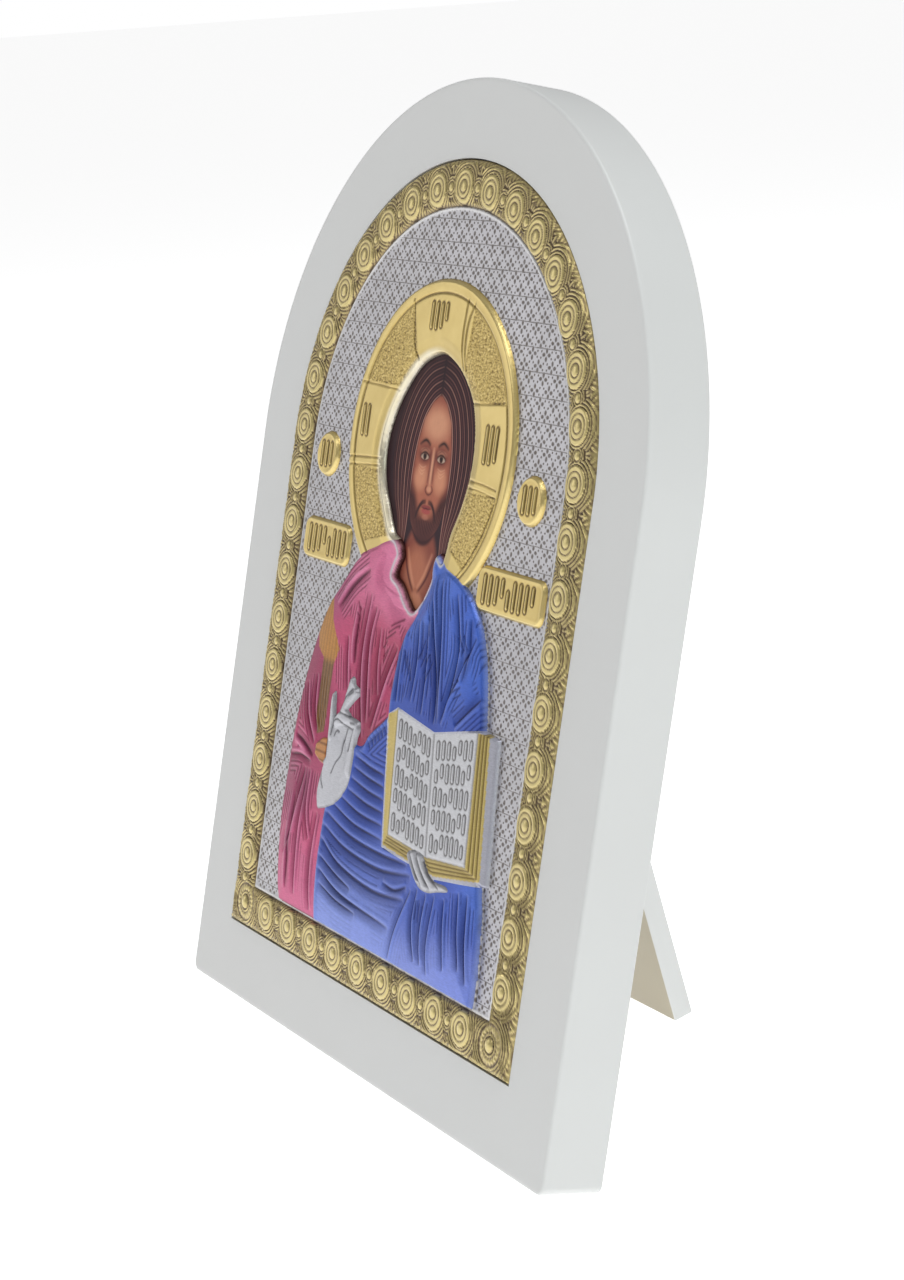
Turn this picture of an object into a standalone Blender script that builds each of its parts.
"""An icon panel that stands on a hinged easel leg.

A painted board with an arched top has an arched pocket in its front. A painted picture panel lies in
the pocket and an embossed plate lies over it, open where the painted head shows. A leg that is hinged
on the back holds the board leaning backwards.

Units are metres and +Z is up. Every piece is first drawn on the upright board: x runs across, y runs
backwards from the front face, and z runs up from the bottom edge. One empty then leans the whole.
"""

import math

import bmesh
import bpy
import numpy as np
from mathutils import Vector
from mathutils.geometry import delaunay_2d_cdt

MM = 0.001

# Board
BOARD_WIDTH = 0.200
BOARD_HEIGHT = 0.2605
BOARD_THICKNESS = 0.017
BOARD_EDGE_RADIUS = 0.0008
BOARD_CORNER_RADIUS = 0.0025
RAIL_WIDTH = 0.0205
POCKET_DEPTH = 0.0038
ARCH_STEPS = 40
CORNER_STEPS = 3

# Clearance between two pieces that touch
GAP = 0.0003

# Picture panel and embossed plate
PICTURE_THICKNESS = 0.0020
FIELD_THICKNESS = 0.0012
PLATE_RIM_THICKNESS = 0.0007
OPENING_LIP_THICKNESS = 0.0005
BORDER_WIDTH = 0.012
BORDER_RISE = 0.0010
HALO_RISE = 0.0012
FIGURE_RISE = 0.0013
FIGURE_CROWN = 0.0008
MANTLE_STEP = 0.0004
HAND_RISE = 0.0028
FINGERS_RISE = 0.0030
TABLET_RISE = 0.0009
ROUNDEL_RISE = 0.0011
STROKE_RISE = 0.0002

# Easel leg and its hinge
LEG_WIDTH = 0.036
LEG_THICKNESS = 0.006
LEG_LENGTH = 0.1552
LEG_OPEN_ANGLE = math.radians(26.8)
HINGE_HEIGHT = 0.1555
HINGE_WIDTH = 0.024
HINGE_LEAF_LENGTH = 0.013
HINGE_LEAF_THICKNESS = 0.0010
HINGE_KNUCKLES = 5
KNUCKLE_WALL = 0.0005
PIN_RADIUS = 0.0007
ROUND_STEPS = 16

# The relief is drawn in millimetres on a field of this half width and height that starts at this level,
# and is then scaled to fit the real field
DRAWN_HALF_WIDTH = 67.2
DRAWN_FIELD_BOTTOM = 32.8
DRAWN_FIELD_HEIGHT = 194.9

# Derived places
PLATE_BACK = POCKET_DEPTH - 2 * GAP - PICTURE_THICKNESS
FIELD_FRONT = PLATE_BACK - FIELD_THICKNESS
POCKET_HALF_WIDTH = BOARD_WIDTH / 2 - RAIL_WIDTH
PLATE_HALF_WIDTH = POCKET_HALF_WIDTH - GAP
PLATE_BOTTOM = RAIL_WIDTH + GAP
ARCH_CENTRE = BOARD_HEIGHT - BOARD_WIDTH / 2
FIELD_HALF_WIDTH = PLATE_HALF_WIDTH - BORDER_WIDTH
FIELD_BOTTOM = PLATE_BOTTOM + BORDER_WIDTH
FIELD_HEIGHT = ARCH_CENTRE + FIELD_HALF_WIDTH - FIELD_BOTTOM
DRAWING_SCALE = min(FIELD_HALF_WIDTH / (DRAWN_HALF_WIDTH * MM), FIELD_HEIGHT / (DRAWN_FIELD_HEIGHT * MM))
KNUCKLE_RADIUS = PIN_RADIUS + GAP + KNUCKLE_WALL
HINGE_Y = BOARD_THICKNESS + GAP + KNUCKLE_RADIUS
LEG_INNER_FACE = KNUCKLE_RADIUS + GAP

# Border ornament: flowers on a line parallel to the plate's edge, with a small boss between two.
# Its section gives the distance from the plate's edge and the share of the rise there.
BORDER_SECTION = ((0.5, 0.1), (1.4, 0.75), (4.0, 1.0), (9.5, 1.0), (11.2, 0.6), (12.0, 0.0))
DRAWN_BORDER_WIDTH = BORDER_SECTION[-1][0]
BORDER_LINES = (0.5, 1.4, 11.2)
FLOWER_LINE = 7.0 * MM
FLOWER_COUNT = 35
FLOWER_RINGS = ((4.0, 0.0), (3.1, 0.5), (2.0, 0.05))
FLOWER_BOSS = 0.65
FLOWER_SIDES = 8
BOTTOM_FLOWER_COUNT = 9
BOSS_RINGS = ((1.4, 0.0),)
BOSS_TOP = 0.4
BOSS_SIDES = 6
CORNER_FLOWER_INSET = 9.2 * MM
CORNER_RINGS = ((6.2, -0.1), (5.3, 0.35), (4.2, 0.0), (2.0, 0.1))
CORNER_BOSS = 0.75
CORNER_SIDES = 14

# Halo: a disc with a cross of three arms, whose fields between the arms lie lower
HALO_CENTRE = (-0.75, 165.8)
HALO_RADIUS = 43.4
HALO_WALL = 0.9
HALO_STEPS = 56
WELL_DEPTH = 0.25
WELL_WALL = 0.4
WELL_RADIUS = 39.6
WELL_ARC_POINTS = 9
WELLS = (
    ((159.6, 114.7), ((-12.0, 187.5), (-16.5, 183.5), (-20.0, 179.6))),
    ((67.8, 20.0), ((19.0, 179.3), (16.0, 182.5), (12.3, 186.0))),
    ((192.4, 226.0), ((-15.5, 140.5), (-20.5, 147.0), (-25.3, 157.3))),
    ((-12.5, -47.5), ((17.0, 141.5), (20.0, 151.0), (22.2, 157.3))),
)

# Opening for the painted head, at the plate's front; its lip below is OPENING_WALL smaller all round
OPENING_WALL = 0.8
OPENING = (
    (-2.0, 190.6), (6.4, 188.6), (12.8, 185.0), (18.4, 179.6), (21.5, 173.0), (22.6, 165.8), (21.9, 158.6),
    (19.6, 151.4), (16.6, 145.2), (15.6, 140.6), (14.2, 137.0), (11.4, 138.9), (10.0, 136.2), (10.2, 132.4),
    (6.2, 125.6), (1.5, 122.6), (-3.0, 125.2), (-7.0, 128.4), (-11.2, 130.4), (-10.6, 133.4), (-9.2, 136.6),
    (-11.6, 139.4), (-15.9, 141.2), (-20.4, 147.2), (-24.9, 154.2), (-26.7, 162.4), (-24.9, 171.0),
    (-19.9, 179.6), (-12.2, 187.2),
)

# Figure: its outline below the neck, and the mantle over its tunic
FIGURE_WALL = 0.7
FIGURE_CROWN_WIDTH = 9.0
FIGURE_SIDES = (
    (-7.0, 141.0), (-14.5, 139.5), (-20.0, 137.2), (-26.0, 135.0), (-30.5, 132.3), (-35.0, 127.6),
    (-39.0, 123.0), (-43.0, 118.0), (-46.2, 111.5), (-49.0, 104.0), (-51.2, 96.0), (-53.0, 87.0),
    (-54.0, 78.0), (-54.6, 68.0), (-55.0, 58.0), (-54.3, 50.0), (-53.0, 43.0), (-51.8, 38.0), (-49.5, 33.4),
)
FIGURE_RIGHT = (
    (59.0, 33.4), (58.9, 42.0), (58.0, 50.0), (57.0, 57.0), (55.0, 64.0), (52.0, 80.0), (49.0, 93.0),
    (47.3, 100.0), (46.3, 105.0), (45.0, 110.0), (43.5, 115.0), (41.5, 120.0), (37.8, 126.0),
    (33.0, 130.5), (28.0, 133.5), (23.0, 135.3), (17.0, 137.0), (13.0, 139.5), (10.5, 142.0),
)
MANTLE_WALL = 0.7
MANTLE_COLLAR = (
    (11.5, 141.0), (10.0, 136.0), (10.3, 131.0), (6.6, 125.3), (3.7, 119.3), (1.3, 112.4), (0.3, 105.4),
    (-0.1, 100.4), (0.2, 95.2),
)
MANTLE_SASH = ((-3.1, 92.3), (-8.1, 88.8), (-11.6, 84.9), (-16.5, 84.6))
MANTLE_LEFT = ((-21.0, 76.0), (-27.0, 67.0), (-28.3, 58.0), (-28.3, 48.0), (-27.4, 40.0), (-26.8, 31.0))
MANTLE_RIGHT = ((63.0, 31.0), (62.0, 60.0), (51.0, 104.0), (46.0, 120.0), (36.0, 133.0), (24.0, 140.0))

# Blessing hand, cuff and the open book that the other hand holds
HAND_WALL = 0.6
HAND = (
    ((-31.8, 63.4), (-33.2, 67.0), (-33.2, 70.5), (-32.4, 74.2), (-30.8, 78.0)),
    ((-31.0, 86.0), (-31.7, 92.5), (-31.1, 95.8), (-29.7, 95.7), (-28.9, 92.0), (-28.3, 89.9)),
    ((-26.5, 91.4), (-24.8, 94.6), (-23.2, 98.6), (-22.4, 101.3), (-20.7, 101.6), (-19.6, 99.8)),
    ((-17.6, 99.1), (-16.9, 97.6), (-19.2, 95.2), (-22.0, 92.6)),
    ((-19.2, 91.2), (-15.4, 90.7), (-14.1, 89.1), (-14.6, 86.2)),
    ((-14.9, 82.5), (-15.5, 75.0), (-17.5, 71.0), (-21.0, 67.6), (-26.0, 65.0)),
)
CUFF_STEP = 0.5
CUFF_WALL = 0.6
CUFF = ((-37.5, 80.5), (-34.0, 82.8), (-30.5, 83.3), (-30.5, 75.6), (-34.0, 75.9), (-37.6, 77.4))
BOOK_POINTS = {
    "page_left_top": (5.6, 97.9, 2.7), "spine_top": (25.6, 95.4, 2.1), "page_right_top": (47.0, 99.9, 2.7),
    "page_left_low": (9.1, 65.7, 2.7), "spine_low": (29.6, 64.5, 2.2), "page_right_low": (49.5, 66.6, 2.7),
    "edge_left_top": (1.1, 95.9, 1.9), "edge_left_low": (7.1, 62.5, 1.8), "edge_mid_low": (35.0, 60.9, 1.7),
    "edge_right_top": (51.5, 100.3, 1.8), "edge_right_low": (56.0, 64.5, 1.7),
    "cover_left_top": (0.5, 95.7, 1.3), "cover_left_low": (6.6, 61.9, 1.3),
    "cover_mid_low": (35.0, 60.2, 1.3), "cover_right_top": (54.3, 99.6, 1.1),
    "cover_right_low": (58.3, 63.6, 1.1), "cover_top": (25.6, 95.9, 1.6),
    "cover_top_left": (5.4, 98.5, 1.6), "cover_top_right": (47.4, 100.6, 1.6),
}
BOOK_FACETS = (
    ("page_left_top", "page_left_low", "spine_low", "spine_top"),
    ("spine_top", "spine_low", "page_right_low", "page_right_top"),
    ("edge_left_top", "edge_left_low", "page_left_low", "page_left_top"),
    ("edge_left_low", "edge_mid_low", "spine_low", "page_left_low"),
    ("edge_mid_low", "edge_right_low", "page_right_low", "spine_low"),
    ("page_right_top", "page_right_low", "edge_right_low", "edge_right_top"),
    ("edge_right_top", "edge_right_low", "cover_right_low", "cover_right_top"),
    ("cover_left_top", "cover_left_low", "edge_left_low", "edge_left_top"),
    ("cover_left_low", "cover_mid_low", "edge_mid_low", "edge_left_low"),
    ("cover_mid_low", "cover_right_low", "edge_right_low", "edge_mid_low"),
    ("cover_left_top", "edge_left_top", "page_left_top", "cover_top_left"),
    ("cover_top_left", "page_left_top", "spine_top", "cover_top"),
    ("cover_top", "spine_top", "page_right_top", "cover_top_right"),
    ("cover_top_right", "page_right_top", "edge_right_top", "cover_right_top"),
)
BOOK_OUTLINE = (
    "cover_left_top", "cover_left_low", "cover_mid_low", "cover_right_low", "cover_right_top",
    "cover_top_right", "cover_top", "cover_top_left",
)
BOOK_FOOT = 0.3
FINGERS = (
    (20.2, 63.4), (23.5, 65.0), (28.0, 64.8), (31.5, 61.8), (35.6, 59.9), (41.5, 60.0), (42.8, 58.8),
    (38.0, 57.6), (33.0, 56.2), (28.0, 56.6), (24.0, 59.6),
)
FINGERS_WALL = 0.8

# Rows of strokes on the pages, as shares of a page's height and width, and on the tablets
ROW_COUNT = 5
STROKES_IN_ROW = 4
ROWS_FROM_TO = (0.13, 0.87)
STROKES_FROM_TO = (0.17, 0.83)
STROKE_SHARE = 0.045
STROKE_HALF_WIDTH = 0.5
TABLET_STROKE_SHARE = 0.4

# Tablets and roundels on the field
TABLETS = ((-64.2, -37.0, 134.5, 11.6), (33.3, 65.6, 134.5, 11.6))
TABLET_CORNER = 3.0
TABLET_WALL = 0.6
TABLET_STROKE_PITCH = 5.2
ROUNDELS = ((-56.5, 158.0), (52.8, 158.2))
ROUNDEL_RADIUS = 6.3
ROUNDEL_WALL = 0.7
ROUNDEL_STEPS = 20

# Distance between the loose points that carry the cloth's swelling
CROWN_PITCH = 9.0

# Points of the drawing that are nearer than this are merged
MERGE_DISTANCE = 0.04

# Folds of the cloth: the points that a fold runs through, its half width, and its height
FOLDS = (
    (((-35.5, 118.5), (-29.0, 125.5), (-20.5, 131.0)), 1.2, -0.55),
    (((-28.0, 112.0), (-26.2, 104.0), (-24.5, 97.5)), 0.9, -0.4),
    (((-18.0, 125.0), (-19.2, 112.0), (-18.0, 101.0), (-13.6, 86.5)), 1.1, -0.5),
    (((-14.2, 122.0), (-15.6, 111.0), (-12.2, 91.0)), 1.0, -0.45),
    (((-10.5, 117.0), (-9.8, 107.0), (-8.0, 99.0)), 0.8, -0.3),
    (((0.0, 113.5), (-4.5, 104.0), (-9.2, 90.0)), 1.1, -0.5),
    (((-23.0, 121.0), (-23.6, 112.0), (-22.4, 105.0)), 0.9, 0.35),
    (((-51.5, 80.5), (-46.0, 79.3), (-39.0, 76.5)), 1.1, 0.45),
    (((-53.0, 74.5), (-47.0, 75.5), (-39.5, 75.0)), 0.8, -0.4),
    (((-48.0, 96.0), (-45.0, 87.0), (-39.5, 80.0)), 1.1, -0.45),
    (((-42.5, 99.0), (-41.5, 90.0), (-38.5, 83.5)), 0.9, -0.35),
    (((-42.5, 73.0), (-45.5, 62.0), (-49.3, 47.0)), 1.2, -0.5),
    (((-41.0, 73.0), (-42.4, 56.0), (-40.5, 37.5)), 1.0, -0.5),
    (((-39.5, 73.0), (-39.2, 62.0), (-35.8, 53.8)), 1.0, -0.6),
    (((-32.4, 62.5), (-32.8, 49.0), (-30.6, 35.5)), 1.1, -0.55),
    (((-46.5, 65.0), (-47.5, 52.0), (-45.5, 38.0)), 1.0, 0.35),
    (((-14.0, 81.6), (-5.0, 80.2), (3.2, 79.8)), 0.9, -0.4),
    (((-14.3, 78.6), (-5.0, 77.2), (3.8, 76.7)), 0.9, -0.4),
    (((-14.8, 75.5), (-5.0, 73.9), (4.4, 73.5)), 0.9, -0.4),
    (((-16.0, 72.2), (-5.0, 70.5), (5.0, 70.2)), 0.9, -0.4),
    (((-19.0, 69.4), (-8.0, 67.2), (5.6, 66.9)), 0.9, -0.45),
    (((-23.5, 66.8), (-10.0, 63.8), (6.2, 63.3)), 0.9, -0.45),
    (((-27.2, 64.0), (-12.0, 60.4), (6.0, 59.6), (21.0, 60.4)), 1.1, -0.5),
    (((-27.8, 60.4), (-14.0, 56.6), (6.0, 55.6), (23.5, 58.2)), 1.2, -0.55),
    (((-28.0, 56.8), (-16.0, 51.6), (4.0, 49.4), (21.5, 51.2)), 1.3, -0.6),
    (((-27.6, 51.8), (-17.0, 48.6), (-7.5, 46.8)), 1.0, -0.5),
    (((-27.2, 48.2), (-12.0, 44.0), (15.5, 42.3)), 1.1, -0.55),
    (((-25.5, 44.4), (-15.0, 42.0), (-3.2, 41.2)), 0.9, -0.45),
    (((9.5, 53.0), (16.0, 52.6), (22.0, 55.0)), 0.9, -0.4),
    (((-9.0, 85.6), (-4.0, 89.6), (0.8, 93.0)), 0.8, -0.35),
    (((3.6, 119.0), (2.9, 109.0), (3.2, 99.6)), 1.0, -0.5),
    (((13.0, 134.0), (17.4, 122.0), (22.4, 108.0), (24.0, 97.6)), 1.1, -0.5),
    (((18.0, 134.0), (21.8, 121.0), (25.6, 98.0)), 1.1, -0.5),
    (((9.8, 122.5), (11.4, 112.0), (10.6, 101.0)), 0.9, -0.35),
    (((14.6, 122.5), (16.6, 110.0), (17.0, 98.6)), 0.9, -0.35),
    (((26.5, 131.5), (31.6, 119.0), (30.0, 108.0), (27.2, 98.4)), 1.1, -0.45),
    (((38.6, 122.5), (33.6, 112.0), (28.6, 103.0)), 1.0, -0.45),
    (((45.0, 108.2), (39.5, 103.4), (34.6, 99.4)), 1.0, -0.45),
    (((35.2, 126.5), (36.6, 117.0), (35.2, 110.5)), 0.9, 0.3),
    (((27.4, 56.2), (26.8, 47.0), (30.0, 37.5)), 1.0, -0.45),
    (((32.0, 56.0), (31.4, 46.0), (33.2, 37.5)), 1.0, -0.45),
    (((36.4, 56.6), (35.4, 45.0), (36.8, 36.0)), 0.9, -0.4),
    (((41.2, 56.8), (42.4, 49.0), (45.0, 39.2)), 1.0, -0.5),
    (((47.6, 60.0), (49.4, 50.0), (52.2, 41.0)), 1.1, -0.5),
    (((51.6, 60.6), (53.4, 48.0), (56.0, 38.6)), 1.0, -0.4),
    (((24.4, 55.0), (19.4, 45.0), (16.0, 34.6)), 0.9, -0.35),
)

# Finishes: colour, roughness, metallic
WHITE_PAINT = ((0.82, 0.82, 0.81), 0.45, 0.0)
PAINTED_PICTURE = ((0.20, 0.08, 0.06), 0.5, 0.0)
EMBOSSED_METAL = ((0.62, 0.50, 0.24), 0.35, 1.0)
STEEL = ((0.55, 0.55, 0.56), 0.35, 1.0)


def clear_scene():
    """Removes every object that is already there."""
    for thing in list(bpy.data.objects):
        bpy.data.objects.remove(thing, do_unlink=True)


def finish(name, look):
    """Makes a material from a colour, a roughness and a metallic value."""
    colour, roughness, metallic = look
    material = bpy.data.materials.new(name)
    material.use_nodes = True
    shader = material.node_tree.nodes["Principled BSDF"]
    shader.inputs["Base Color"].default_value = (*colour, 1.0)
    shader.inputs["Roughness"].default_value = roughness
    shader.inputs["Metallic"].default_value = metallic
    return material


def add_object(name, bm, material, parent, location=(0.0, 0.0, 0.0)):
    """Turns a bmesh into a named object with its normals pointing out."""
    bmesh.ops.recalc_face_normals(bm, faces=bm.faces)
    mesh = bpy.data.meshes.new(name)
    bm.to_mesh(mesh)
    bm.free()
    mesh.materials.append(material)
    thing = bpy.data.objects.new(name, mesh)
    bpy.context.collection.objects.link(thing)
    thing.parent = parent
    thing.location = location
    return thing


def add_empty(name, parent, location, angle):
    """Adds an empty that turns what hangs on it about the x axis."""
    empty = bpy.data.objects.new(name, None)
    bpy.context.collection.objects.link(empty)
    empty.parent = parent
    empty.location = location
    empty.rotation_euler = (angle, 0.0, 0.0)
    return empty


def arch_outline(inset, corner_radius=0.0):
    """The board's arched outline, moved inwards by an inset, as (x, z) points from the bottom left."""
    half = BOARD_WIDTH / 2 - inset
    points = []
    for side, first in ((-1, 180.0), (1, 270.0)):
        if corner_radius <= 0.0:
            points.append((side * half, inset))
            continue
        centre = (side * (half - corner_radius), inset + corner_radius)
        for step in range(CORNER_STEPS + 1):
            angle = math.radians(first + 90.0 * step / CORNER_STEPS)
            points.append((centre[0] + corner_radius * math.cos(angle),
                           centre[1] + corner_radius * math.sin(angle)))
    for step in range(ARCH_STEPS + 1):
        angle = math.pi * step / ARCH_STEPS
        points.append((half * math.cos(angle), ARCH_CENTRE + half * math.sin(angle)))
    return points


def add_loop(bm, outline, depth):
    """Adds one closed ring of vertices at a depth behind the front face."""
    return [bm.verts.new((x, depth, z)) for x, z in outline]


def bridge(bm, ring_a, ring_b):
    """Joins two rings of as many vertices with quads."""
    count = len(ring_a)
    for i in range(count):
        j = (i + 1) % count
        bm.faces.new((ring_a[i], ring_a[j], ring_b[j], ring_b[i]))


def build_board(parent, material):
    """The board: arched outline, eased front edge, and the arched pocket in its front."""
    bm = bmesh.new()
    rounding = []
    for step in range(3):
        turn = math.radians(45.0 * step)
        inset = BOARD_EDGE_RADIUS * (1.0 - math.cos(turn))
        depth = BOARD_EDGE_RADIUS * (1.0 - math.sin(turn))
        rounding.append(add_loop(bm, arch_outline(inset, BOARD_CORNER_RADIUS - inset), depth))
    back = add_loop(bm, arch_outline(0.0, BOARD_CORNER_RADIUS), BOARD_THICKNESS)
    mouth = add_loop(bm, arch_outline(RAIL_WIDTH, BOARD_EDGE_RADIUS), 0.0)
    floor = add_loop(bm, arch_outline(RAIL_WIDTH, BOARD_EDGE_RADIUS), POCKET_DEPTH)
    rings = [back, *rounding, mouth, floor]
    for ring_a, ring_b in zip(rings, rings[1:]):
        bridge(bm, ring_a, ring_b)
    bm.faces.new(back)
    bm.faces.new(floor)
    return add_object("frame_board", bm, material, parent)


def build_picture(parent, material):
    """The painted panel at the bottom of the pocket."""
    bm = bmesh.new()
    back_depth = POCKET_DEPTH - GAP
    outline = arch_outline(RAIL_WIDTH + GAP, BOARD_EDGE_RADIUS)
    front = add_loop(bm, outline, back_depth - PICTURE_THICKNESS)
    back = add_loop(bm, outline, back_depth)
    bridge(bm, front, back)
    bm.faces.new(front)
    bm.faces.new(back)
    return add_object("picture_panel", bm, material, parent)


def drawn(points):
    """Millimetres of the drawing to metres on the board."""
    flat = np.asarray(points, dtype=float)[:, :2]
    x = flat[:, 0] * DRAWING_SCALE * MM
    z = FIELD_BOTTOM + (flat[:, 1] - DRAWN_FIELD_BOTTOM) * DRAWING_SCALE * MM
    return np.stack([x, z], axis=1)


def smooth(points, closed=False, steps=2):
    """A curve through the points, with some steps between each two."""
    p = np.asarray(points, dtype=float)
    count = len(p)
    spans = count if closed else count - 1
    out = []
    for i in range(spans):
        a, b = p[i], p[(i + 1) % count]
        before = p[(i - 1) % count] if closed or i > 0 else a
        after = p[(i + 2) % count] if closed or i + 2 < count else b
        for step in range(steps):
            t = step / steps
            bend_a, bend_b = (b - before) / 2, (after - a) / 2
            out.append((2 * t**3 - 3 * t**2 + 1) * a + (t**3 - 2 * t**2 + t) * bend_a
                       + (3 * t**2 - 2 * t**3) * b + (t**3 - t**2) * bend_b)
    if not closed:
        out.append(p[-1])
    return np.array(out)


def circle(centre, radius, sides, turn=0.0):
    """A closed ring of points, counter-clockwise."""
    angles = turn + 2 * math.pi * np.arange(sides) / sides
    return np.stack([centre[0] + radius * np.cos(angles), centre[1] + radius * np.sin(angles)], axis=1)


def distance_to_path(points, path, closed=False):
    """Each point's distance to a path, and where along it the nearest place lies, from 0 to 1."""
    a = path if closed else path[:-1]
    b = np.roll(path, -1, axis=0) if closed else path[1:]
    along = b - a
    length = np.maximum((along**2).sum(1), 1e-18)
    t = np.clip(((points[:, None] - a) * along).sum(2) / length, 0.0, 1.0)
    gap = np.linalg.norm(points[:, None] - (a + t[..., None] * along), axis=2)
    nearest = gap.argmin(1)
    rows = np.arange(len(points))
    return gap[rows, nearest], (nearest + t[rows, nearest]) / len(a)


def inside(points, outline):
    """Whether each point lies inside a closed outline."""
    a, b = outline, np.roll(outline, -1, axis=0)
    x, z = points[:, :1], points[:, 1:]
    crosses = (a[:, 1] > z) != (b[:, 1] > z)
    rise = np.where(b[:, 1] == a[:, 1], 1e-18, b[:, 1] - a[:, 1])
    at = a[:, 0] + (z - a[:, 1]) * (b[:, 0] - a[:, 0]) / rise
    return (crosses & (x < at)).sum(1) % 2 == 1


def depth_inside(points, outline):
    """How far each point lies inside a closed outline; negative outside."""
    gap, _ = distance_to_path(points, outline, closed=True)
    return np.where(inside(points, outline), gap, -gap)


def moved_in(outline, distance):
    """A closed counter-clockwise or clockwise outline, moved inwards by a small distance."""
    before = outline - np.roll(outline, 1, axis=0)
    after = np.roll(outline, -1, axis=0) - outline
    area = (outline[:, 0] * np.roll(outline[:, 1], -1) - np.roll(outline[:, 0], -1) * outline[:, 1]).sum()
    normals = []
    for edge in (before, after):
        left = np.stack([-edge[:, 1], edge[:, 0]], axis=1)
        normals.append(left / np.maximum(np.linalg.norm(left, axis=1, keepdims=True), 1e-12))
    middle = normals[0] + normals[1]
    middle /= np.maximum(np.linalg.norm(middle, axis=1, keepdims=True), 1e-12)
    stretch = np.minimum(1.0 / np.maximum((middle * normals[0]).sum(1, keepdims=True), 0.3), 1.6)
    return outline + math.copysign(1.0, area) * distance * stretch * middle


def step_in(depth, wall):
    """0 at an outline, 1 once the wall's width inside it."""
    return np.clip(depth / (0.9 * wall), 0.0, 1.0)


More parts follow.
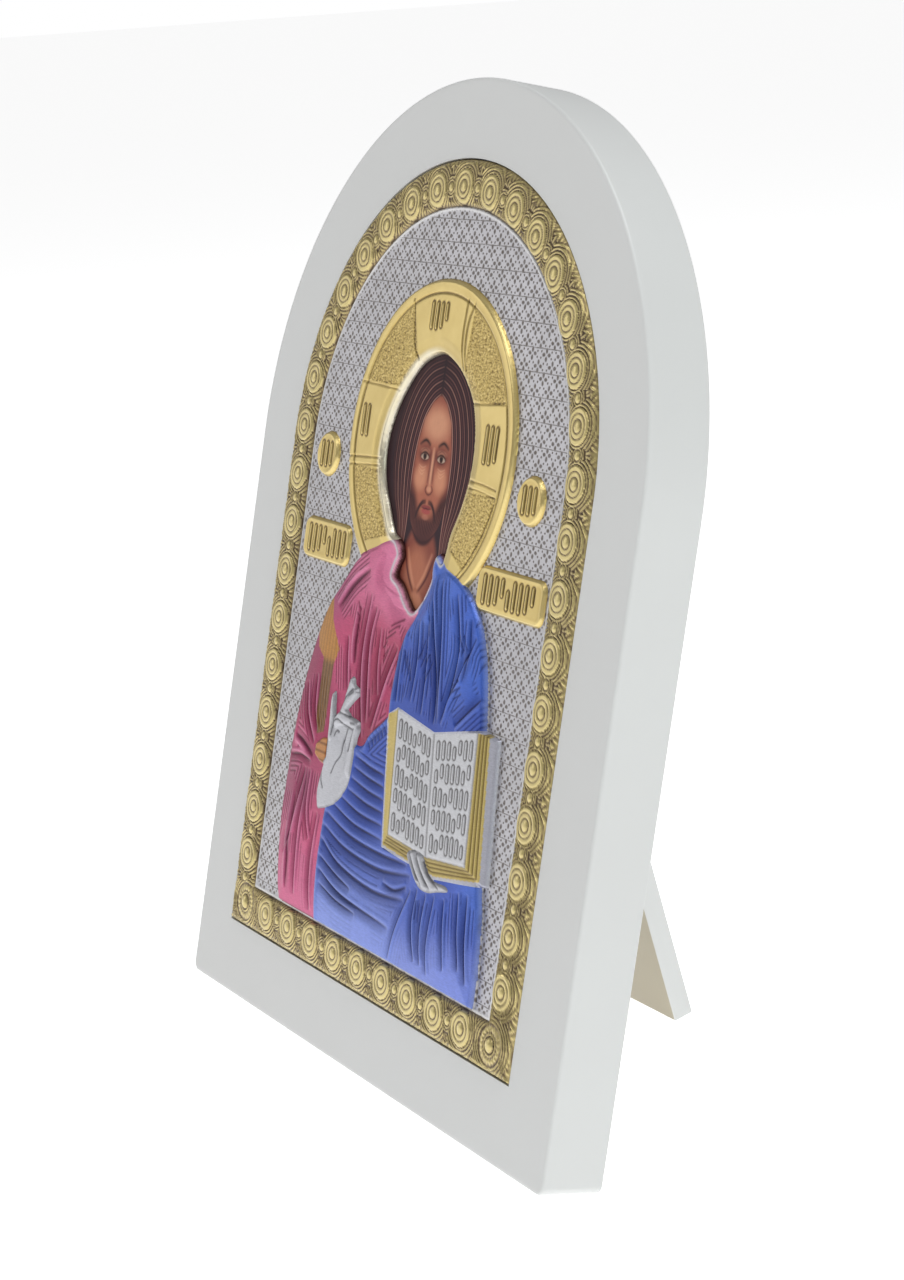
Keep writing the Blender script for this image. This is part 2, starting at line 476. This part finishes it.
class Relief:
    """The plate's drawing: its height over the field at any place, and the lines its mesh follows."""

    def __init__(self):
        scale = DRAWING_SCALE * MM
        self.scale = scale
        self.opening = smooth(drawn(OPENING), closed=True)
        self.lip = moved_in(self.opening, OPENING_WALL * scale)
        self.figure = np.concatenate([smooth(drawn(FIGURE_SIDES)), smooth(drawn(FIGURE_RIGHT))])
        self.mantle = np.concatenate([smooth(drawn(part)) for part in
                                      (MANTLE_COLLAR, MANTLE_SASH, MANTLE_LEFT, MANTLE_RIGHT)])
        self.hand = np.concatenate([smooth(drawn(part)) for part in HAND])
        self.cuff = drawn(CUFF)
        self.fingers = smooth(drawn(FINGERS), closed=True, steps=1)
        self.book = {name: (*drawn([place])[0], place[2] * scale) for name, place in BOOK_POINTS.items()}
        self.book_outline = np.array([self.book[name][:2] for name in BOOK_OUTLINE])
        self.halo_centre = drawn([HALO_CENTRE])[0]
        self.halo = circle(self.halo_centre, HALO_RADIUS * scale, HALO_STEPS)
        self.wells = [self.well(*well) for well in WELLS]
        self.tablets = [self.tablet(*tablet) for tablet in TABLETS]
        self.roundels = [circle(drawn([centre])[0], ROUNDEL_RADIUS * scale, ROUNDEL_STEPS)
                         for centre in ROUNDELS]
        self.folds = [(smooth(drawn(path)), half * scale, rise * scale) for path, half, rise in FOLDS]
        self.strokes = self.page_strokes() + self.tablet_strokes()
        self.flowers = self.border_flowers()

    def well(self, angles, inner):
        """The closed outline of one lower field of the halo."""
        start, end = angles
        arc = [(self.halo_centre[0] + WELL_RADIUS * self.scale * math.cos(math.radians(a)),
                self.halo_centre[1] + WELL_RADIUS * self.scale * math.sin(math.radians(a)))
               for a in np.linspace(start, end, WELL_ARC_POINTS)]
        return np.concatenate([arc, drawn(inner)])

    def tablet(self, left, right, middle, height):
        """The outline of a tablet with round corners."""
        corners = []
        for side, level, first in ((right, 1, 0.0), (left, 1, 90.0), (left, -1, 180.0), (right, -1, 270.0)):
            inward = -1 if side == right else 1
            cx = side + inward * TABLET_CORNER
            cz = middle + level * (height / 2 - TABLET_CORNER)
            for turn in (0.0, 30.0, 60.0, 90.0):
                a = math.radians(first + turn)
                corners.append((cx + TABLET_CORNER * math.cos(a), cz + TABLET_CORNER * math.sin(a)))
        return drawn(corners)

    def page_strokes(self):
        """Rows of short upright strokes on the two pages."""
        strokes = []
        corners = {name: np.array(place[:2]) for name, place in self.book.items()}
        pages = (("page_left_top", "spine_top", "page_left_low", "spine_low"),
                 ("spine_top", "page_right_top", "spine_low", "page_right_low"))
        for left_top, right_top, left_low, right_low in pages:
            def at(across, down):
                top = corners[left_top] * (1 - across) + corners[right_top] * across
                low = corners[left_low] * (1 - across) + corners[right_low] * across
                return top * (1 - down) + low * down
            for middle in np.linspace(*ROWS_FROM_TO, ROW_COUNT):
                for across in np.linspace(*STROKES_FROM_TO, STROKES_IN_ROW):
                    ends = [at(across, middle - STROKE_SHARE), at(across, middle + STROKE_SHARE)]
                    strokes.append(np.array(ends))
        return strokes

    def tablet_strokes(self):
        """Short strokes in a row on each tablet."""
        strokes = []
        for left, right, middle, height in TABLETS:
            count = int((right - left - TABLET_CORNER) // TABLET_STROKE_PITCH)
            start = (left + right) / 2 - TABLET_STROKE_PITCH * (count - 1) / 2
            for k in range(count):
                x = start + k * TABLET_STROKE_PITCH
                reach = height * TABLET_STROKE_SHARE / 2
                strokes.append(drawn([(x, middle - reach), (x, middle + reach)]))
        return strokes

    def border_flowers(self):
        """Centre, rings, boss height and side count of every flower and boss on the border."""
        flowers = []
        half = PLATE_HALF_WIDTH - FLOWER_LINE
        corner_x = PLATE_HALF_WIDTH - CORNER_FLOWER_INSET
        corner_z = PLATE_BOTTOM + FLOWER_LINE
        straight = ARCH_CENTRE - corner_z
        total = 2 * straight + math.pi * half

        def on_line(s):
            if s < straight:
                return half, corner_z + s
            if s > total - straight:
                return -half, corner_z + total - s
            angle = (s - straight) / half
            return half * math.cos(angle), ARCH_CENTRE + half * math.sin(angle)

        pitch = total / (FLOWER_COUNT + 1)
        for k in range(1, FLOWER_COUNT + 1):
            flowers.append((on_line(k * pitch), FLOWER_RINGS, FLOWER_BOSS, FLOWER_SIDES))
            flowers.append((on_line((k + 0.5) * pitch), BOSS_RINGS, BOSS_TOP, BOSS_SIDES))
        bottom_pitch = 2 * corner_x / (BOTTOM_FLOWER_COUNT + 1)
        for k in range(BOTTOM_FLOWER_COUNT):
            x = (k + 1) * bottom_pitch - corner_x
            flowers.append(((x, corner_z), FLOWER_RINGS, FLOWER_BOSS, FLOWER_SIDES))
            if k:
                flowers.append(((x - bottom_pitch / 2, corner_z), BOSS_RINGS, BOSS_TOP, BOSS_SIDES))
        for side in (-1, 1):
            flowers.append(((side * corner_x, corner_z), CORNER_RINGS, CORNER_BOSS, CORNER_SIDES))
        return flowers

    def edge_distance(self, points):
        """How far each point lies inside the plate's own arched outline."""
        x, z = np.abs(points[:, 0]), points[:, 1]
        arch = PLATE_HALF_WIDTH - np.hypot(x, z - ARCH_CENTRE)
        straight = np.minimum(PLATE_HALF_WIDTH - x, z - PLATE_BOTTOM)
        return np.where(z > ARCH_CENTRE, arch, straight)

    def border_height(self, points):
        """The border's rounded band with its flowers."""
        across = self.edge_distance(points) * DRAWN_BORDER_WIDTH / BORDER_WIDTH
        rise = BORDER_RISE / MM
        stops = [0.0] + [stop[0] for stop in BORDER_SECTION]
        levels = [PLATE_RIM_THICKNESS - FIELD_THICKNESS] + [stop[1] * BORDER_RISE for stop in BORDER_SECTION]
        height = np.interp(across, stops, levels)
        for centre, rings, boss, _ in self.flowers:
            reach = np.hypot(points[:, 0] - centre[0], points[:, 1] - centre[1]) / MM
            near = reach <= rings[0][0] * 1.001
            radii = [0.0] + [ring[0] for ring in reversed(rings)]
            tops = [boss] + [ring[1] for ring in reversed(rings)]
            height = np.where(near, (rise + np.interp(reach, radii, tops)) * MM, height)
        return height

    def book_height(self, points, height):
        """The open book's facets, set over what lies under them."""
        result = height.copy()
        for facet in BOOK_FACETS:
            corners = [np.array(self.book[name]) for name in facet]
            for a, b, c in ((corners[0], corners[1], corners[2]), (corners[0], corners[2], corners[3])):
                ab, ac = b[:2] - a[:2], c[:2] - a[:2]
                area = ab[0] * ac[1] - ab[1] * ac[0]
                if abs(area) < 1e-12:
                    continue
                offset = points - a[:2]
                s = (offset[:, 0] * ac[1] - offset[:, 1] * ac[0]) / area
                t = (ab[0] * offset[:, 1] - ab[1] * offset[:, 0]) / area
                near = (s >= -1e-6) & (t >= -1e-6) & (s + t <= 1 + 1e-6)
                level = a[2] + s * (b[2] - a[2]) + t * (c[2] - a[2])
                result = np.where(near, np.maximum(result, level), result)
        return result

    def height(self, points):
        """The relief's height over the field, in metres, at each (x, z) point."""
        s = self.scale
        height = self.border_height(points)
        halo = step_in(depth_inside(points, self.halo), HALO_WALL * s) * HALO_RISE
        for well in self.wells:
            halo = halo - step_in(depth_inside(points, well), WELL_WALL * s) * WELL_DEPTH * s
        height = np.maximum(height, halo)
        for outlines, wall, rise in ((self.tablets, TABLET_WALL, TABLET_RISE),
                                     (self.roundels, ROUNDEL_WALL, ROUNDEL_RISE)):
            for outline in outlines:
                height = np.maximum(height, step_in(depth_inside(points, outline), wall * s) * rise)
        depth = depth_inside(points, self.figure)
        swell = np.clip(depth / (FIGURE_CROWN_WIDTH * s), 0.0, 1.0)
        body = step_in(depth, FIGURE_WALL * s) * (FIGURE_RISE + FIGURE_CROWN * np.sin(swell * math.pi / 2))
        body = body + (body > 0) * step_in(depth_inside(points, self.mantle), MANTLE_WALL * s) * MANTLE_STEP
        body = body + (body > 0) * step_in(depth_inside(points, self.cuff), CUFF_WALL * s) * CUFF_STEP * s
        for path, half, rise in self.folds:
            gap, along = distance_to_path(points, path)
            width = half * np.sqrt(np.maximum(np.sin(math.pi * along), 1e-6))
            body = body + (depth > 0) * rise * np.clip(1.0 - gap / width, 0.0, 1.0) * np.sin(math.pi * along)
        height = np.maximum(height, body)
        height = self.book_height(points, height)
        for outline, wall, rise in ((self.hand, HAND_WALL, HAND_RISE),
                                    (self.fingers, FINGERS_WALL, FINGERS_RISE)):
            k = step_in(depth_inside(points, outline), wall * s)
            height = height * (1 - k) + np.maximum(height, rise) * k
        for path in self.strokes:
            gap, _ = distance_to_path(points, path)
            height = height + STROKE_RISE * np.clip(1.0 - gap / (STROKE_HALF_WIDTH * s), 0.0, 1.0)
        into_lip = np.clip(-depth_inside(points, self.lip) / (OPENING_WALL * s), 0.0, 1.0)
        lip_height = OPENING_LIP_THICKNESS - FIELD_THICKNESS
        return lip_height + (height - lip_height) * into_lip

    def lines(self):
        """Every line that the mesh follows, as (points, closed)."""
        s = self.scale
        found = [(self.lip, True), (self.opening, True)]
        for inset in BORDER_LINES:
            found.append((self.plate_outline(inset * BORDER_WIDTH / DRAWN_BORDER_WIDTH), True))
        found.append((self.plate_outline(BORDER_WIDTH), True))
        found += [(self.halo, True), (moved_in(self.halo, HALO_WALL * s), True)]
        shapes = [(self.figure, FIGURE_WALL), (self.mantle, MANTLE_WALL), (self.hand, HAND_WALL),
                  (self.cuff, CUFF_WALL), (self.fingers, FINGERS_WALL)]
        shapes += [(well, WELL_WALL) for well in self.wells]
        shapes += [(tablet, TABLET_WALL) for tablet in self.tablets]
        shapes += [(roundel, ROUNDEL_WALL) for roundel in self.roundels]
        for outline, wall in shapes:
            found += [(outline, True), (moved_in(outline, wall * s), True)]
        for facet in BOOK_FACETS:
            found.append((np.array([self.book[name][:2] for name in facet]), True))
        found.append((moved_in(self.book_outline, -BOOK_FOOT * s), True))
        for path, half, _ in self.folds:
            found += self.lens(path, half)
        for path in self.strokes:
            found += self.lens(path, STROKE_HALF_WIDTH * s, blunt=True)
        for centre, rings, _, sides in self.flowers:
            for ring in rings:
                found.append((circle(centre, ring[0] * MM, sides, math.pi / sides), True))
        return found

    def lens(self, path, half, blunt=False):
        """A path and the two lines beside it, where its slopes end."""
        along = np.gradient(path, axis=0)
        along /= np.linalg.norm(along, axis=1, keepdims=True)
        side = np.stack([-along[:, 1], along[:, 0]], axis=1)
        if blunt:
            loop = np.concatenate([[path[0] - along[0] * half], path - side * half,
                                   [path[-1] + along[-1] * half], (path + side * half)[::-1]])
            return [(path, False), (loop, True)]
        place = np.linspace(0.0, 1.0, len(path))[1:-1, None]
        width = half * np.sqrt(np.sin(math.pi * place))
        loop = np.concatenate([path[:1], path[1:-1] - side[1:-1] * width, path[-1:],
                               (path[1:-1] + side[1:-1] * width)[::-1]])
        return [(path, False), (loop, True)]

    def plate_outline(self, inset):
        """The plate's arched outline, moved inwards."""
        return np.array(arch_outline(RAIL_WIDTH + GAP + inset))

    def crown_points(self):
        """Loose points that let the cloth's swelling show between its folds."""
        pitch = CROWN_PITCH * self.scale
        low, high = self.figure.min(0), self.figure.max(0)
        points = np.array([(x, z) for x in np.arange(low[0], high[0], pitch)
                           for z in np.arange(low[1], high[1], pitch)])
        return points[depth_inside(points, self.figure) > FIGURE_WALL * self.scale]


def triangulate(relief):
    """Covers the plate with triangles that follow the relief's lines."""
    outer = relief.plate_outline(0.0)
    places, edges = [], []
    for line, closed in [(outer, True), *relief.lines()]:
        start, count = len(places), len(line)
        places += [Vector((x / MM, z / MM)) for x, z in line]
        edges += [(start + i, start + (i + 1) % count) for i in range(count if closed else count - 1)]
    loose = [centre for centre, _, _, _ in relief.flowers] + list(relief.crown_points())
    places += [Vector((x / MM, z / MM)) for x, z in loose]
    merged = delaunay_2d_cdt(places, edges, [], 0, MERGE_DISTANCE, False)
    points = np.array([(p.x * MM, p.y * MM) for p in merged[0]])
    triangles = np.array([face for face in merged[2]])
    middles = points[triangles].mean(1)
    kept = inside(middles, outer) & ~inside(middles, relief.lip)
    return points, triangles[kept]


def build_plate(parent, material):
    """The embossed plate: the relief in front, a flat back, and the opening for the head."""
    relief = Relief()
    points, triangles = triangulate(relief)
    heights = relief.height(points)
    bm = bmesh.new()
    front = {}
    for i in np.unique(triangles):
        x, z = points[i]
        front[i] = bm.verts.new((x, FIELD_FRONT - heights[i], z))
    for a, b, c in triangles:
        bm.faces.new((front[a], front[b], front[c]))
    rim = [edge for edge in bm.edges if len(edge.link_faces) == 1]
    made = bmesh.ops.extrude_edge_only(bm, edges=rim)["geom"]
    back = [item for item in made if isinstance(item, bmesh.types.BMVert)]
    for vertex in back:
        vertex.co.y = PLATE_BACK
    back_edges = [item for item in made if isinstance(item, bmesh.types.BMEdge) and len(item.link_faces) == 1]
    bmesh.ops.triangle_fill(bm, edges=back_edges, use_beauty=True, normal=(0.0, 1.0, 0.0))
    return add_object("relief_plate", bm, material, parent)


def prism(bm, outline, x_from, x_to):
    """A prism along x with a (y, z) outline."""
    ends = [[bm.verts.new((x, y, z)) for y, z in outline] for x in (x_from, x_to)]
    bridge(bm, ends[0], ends[1])
    for end in ends:
        bm.faces.new(end)


def tube_outline(radius):
    """A round (y, z) outline about the hinge's axis."""
    angles = [2 * math.pi * k / ROUND_STEPS for k in range(ROUND_STEPS)]
    return [(radius * math.cos(angle), radius * math.sin(angle)) for angle in angles]


def box_outline(y_from, y_to, z_from, z_to):
    """A rectangular (y, z) outline."""
    return [(y_from, z_from), (y_to, z_from), (y_to, z_to), (y_from, z_to)]


def build_leg(parent, material):
    """The leg, drawn hanging down from the hinge's axis, with a top cut to lie on the board when open."""
    inner, outer = LEG_INNER_FACE, LEG_INNER_FACE + LEG_THICKNESS
    turn = LEG_OPEN_ANGLE
    inner_top = (inner * math.cos(turn) + KNUCKLE_RADIUS) / math.sin(turn)
    outer_top = (outer * math.cos(turn) + KNUCKLE_RADIUS) / math.sin(turn)
    bm = bmesh.new()
    outline = [(inner, -LEG_LENGTH), (outer, -LEG_LENGTH), (outer, outer_top), (inner, inner_top)]
    prism(bm, outline, -LEG_WIDTH / 2, LEG_WIDTH / 2)
    return add_object("easel_leg", bm, material, parent)


def add_modifier_cut(thing, cutter, operation):
    """Adds an exact Boolean that joins or cuts with another object."""
    cutter.hide_render = True
    cutter.display_type = "WIRE"
    modifier = thing.modifiers.new(operation.title(), "BOOLEAN")
    modifier.operation = operation
    modifier.solver = "EXACT"
    modifier.object = cutter


def build_leaf(name, side, knuckles, parent, material):
    """One leaf of the hinge: side is -1 for the board's leaf and 1 for the leg's."""
    length = HINGE_WIDTH / HINGE_KNUCKLES
    near, far = sorted((side * KNUCKLE_RADIUS, side * (KNUCKLE_RADIUS - HINGE_LEAF_THICKNESS)))
    clear = KNUCKLE_RADIUS + GAP
    bm = bmesh.new()
    prism(bm, box_outline(near, far, -HINGE_LEAF_LENGTH, -clear), -HINGE_WIDTH / 2, HINGE_WIDTH / 2)
    leaf = add_object(name, bm, material, parent)
    for number in knuckles:
        start = -HINGE_WIDTH / 2 + number * length + (GAP / 2 if number else 0.0)
        end = -HINGE_WIDTH / 2 + (number + 1) * length - (GAP / 2 if number < HINGE_KNUCKLES - 1 else 0.0)
        for part, outline in (("barrel", tube_outline(KNUCKLE_RADIUS)),
                              ("link", box_outline(near, far, -clear - KNUCKLE_WALL, 0.0))):
            bm = bmesh.new()
            prism(bm, outline, start, end)
            joined = add_object(f"{name}_{part}_{number}", bm, material, parent)
            add_modifier_cut(leaf, joined, "UNION")
    bm = bmesh.new()
    prism(bm, tube_outline(PIN_RADIUS + GAP), -HINGE_WIDTH, HINGE_WIDTH)
    bore = add_object(f"{name}_bore", bm, material, parent)
    add_modifier_cut(leaf, bore, "DIFFERENCE")
    return leaf


def build_pin(parent, material):
    """The hinge's pin."""
    bm = bmesh.new()
    prism(bm, tube_outline(PIN_RADIUS), -HINGE_WIDTH / 2, HINGE_WIDTH / 2)
    return add_object("hinge_pin", bm, material, parent)


def lean_angle():
    """How far the board leans back when its rear edge and the open leg's foot share one ground."""
    turn = LEG_OPEN_ANGLE
    foot_y = HINGE_Y + LEG_INNER_FACE * math.cos(turn) + LEG_LENGTH * math.sin(turn)
    foot_z = HINGE_HEIGHT + LEG_INNER_FACE * math.sin(turn) - LEG_LENGTH * math.cos(turn)
    return math.atan2(foot_z, foot_y - BOARD_THICKNESS)


def stand_on_ground(root, pieces):
    """Moves the whole so that the origin is under the middle of its box."""
    bpy.context.view_layer.update()
    corners = np.array([piece.matrix_world @ vertex.co for piece in pieces for vertex in piece.data.vertices])
    low, high = corners.min(0), corners.max(0)
    root.location = (-(low[0] + high[0]) / 2, -(low[1] + high[1]) / 2, -low[2])


def main():
    """Builds every piece of the panel, then leans and places the whole."""
    clear_scene()
    paint = finish("white_paint", WHITE_PAINT)
    steel = finish("hinge_steel", STEEL)
    root = add_empty("panel", None, (0.0, 0.0, 0.0), -lean_angle())
    board = build_board(root, paint)
    build_picture(root, finish("painted_picture", PAINTED_PICTURE))
    build_plate(root, finish("embossed_metal", EMBOSSED_METAL))
    hinge = add_empty("hinge_axis", root, (0.0, HINGE_Y, HINGE_HEIGHT), 0.0)
    swing = add_empty("leg_swing", hinge, (0.0, 0.0, 0.0), LEG_OPEN_ANGLE)
    leg = build_leg(swing, paint)
    build_leaf("hinge_leaf_board", -1, range(0, HINGE_KNUCKLES, 2), hinge, steel)
    build_leaf("hinge_leaf_leg", 1, range(1, HINGE_KNUCKLES, 2), swing, steel)
    build_pin(hinge, steel)
    stand_on_ground(root, [board, leg])


main()
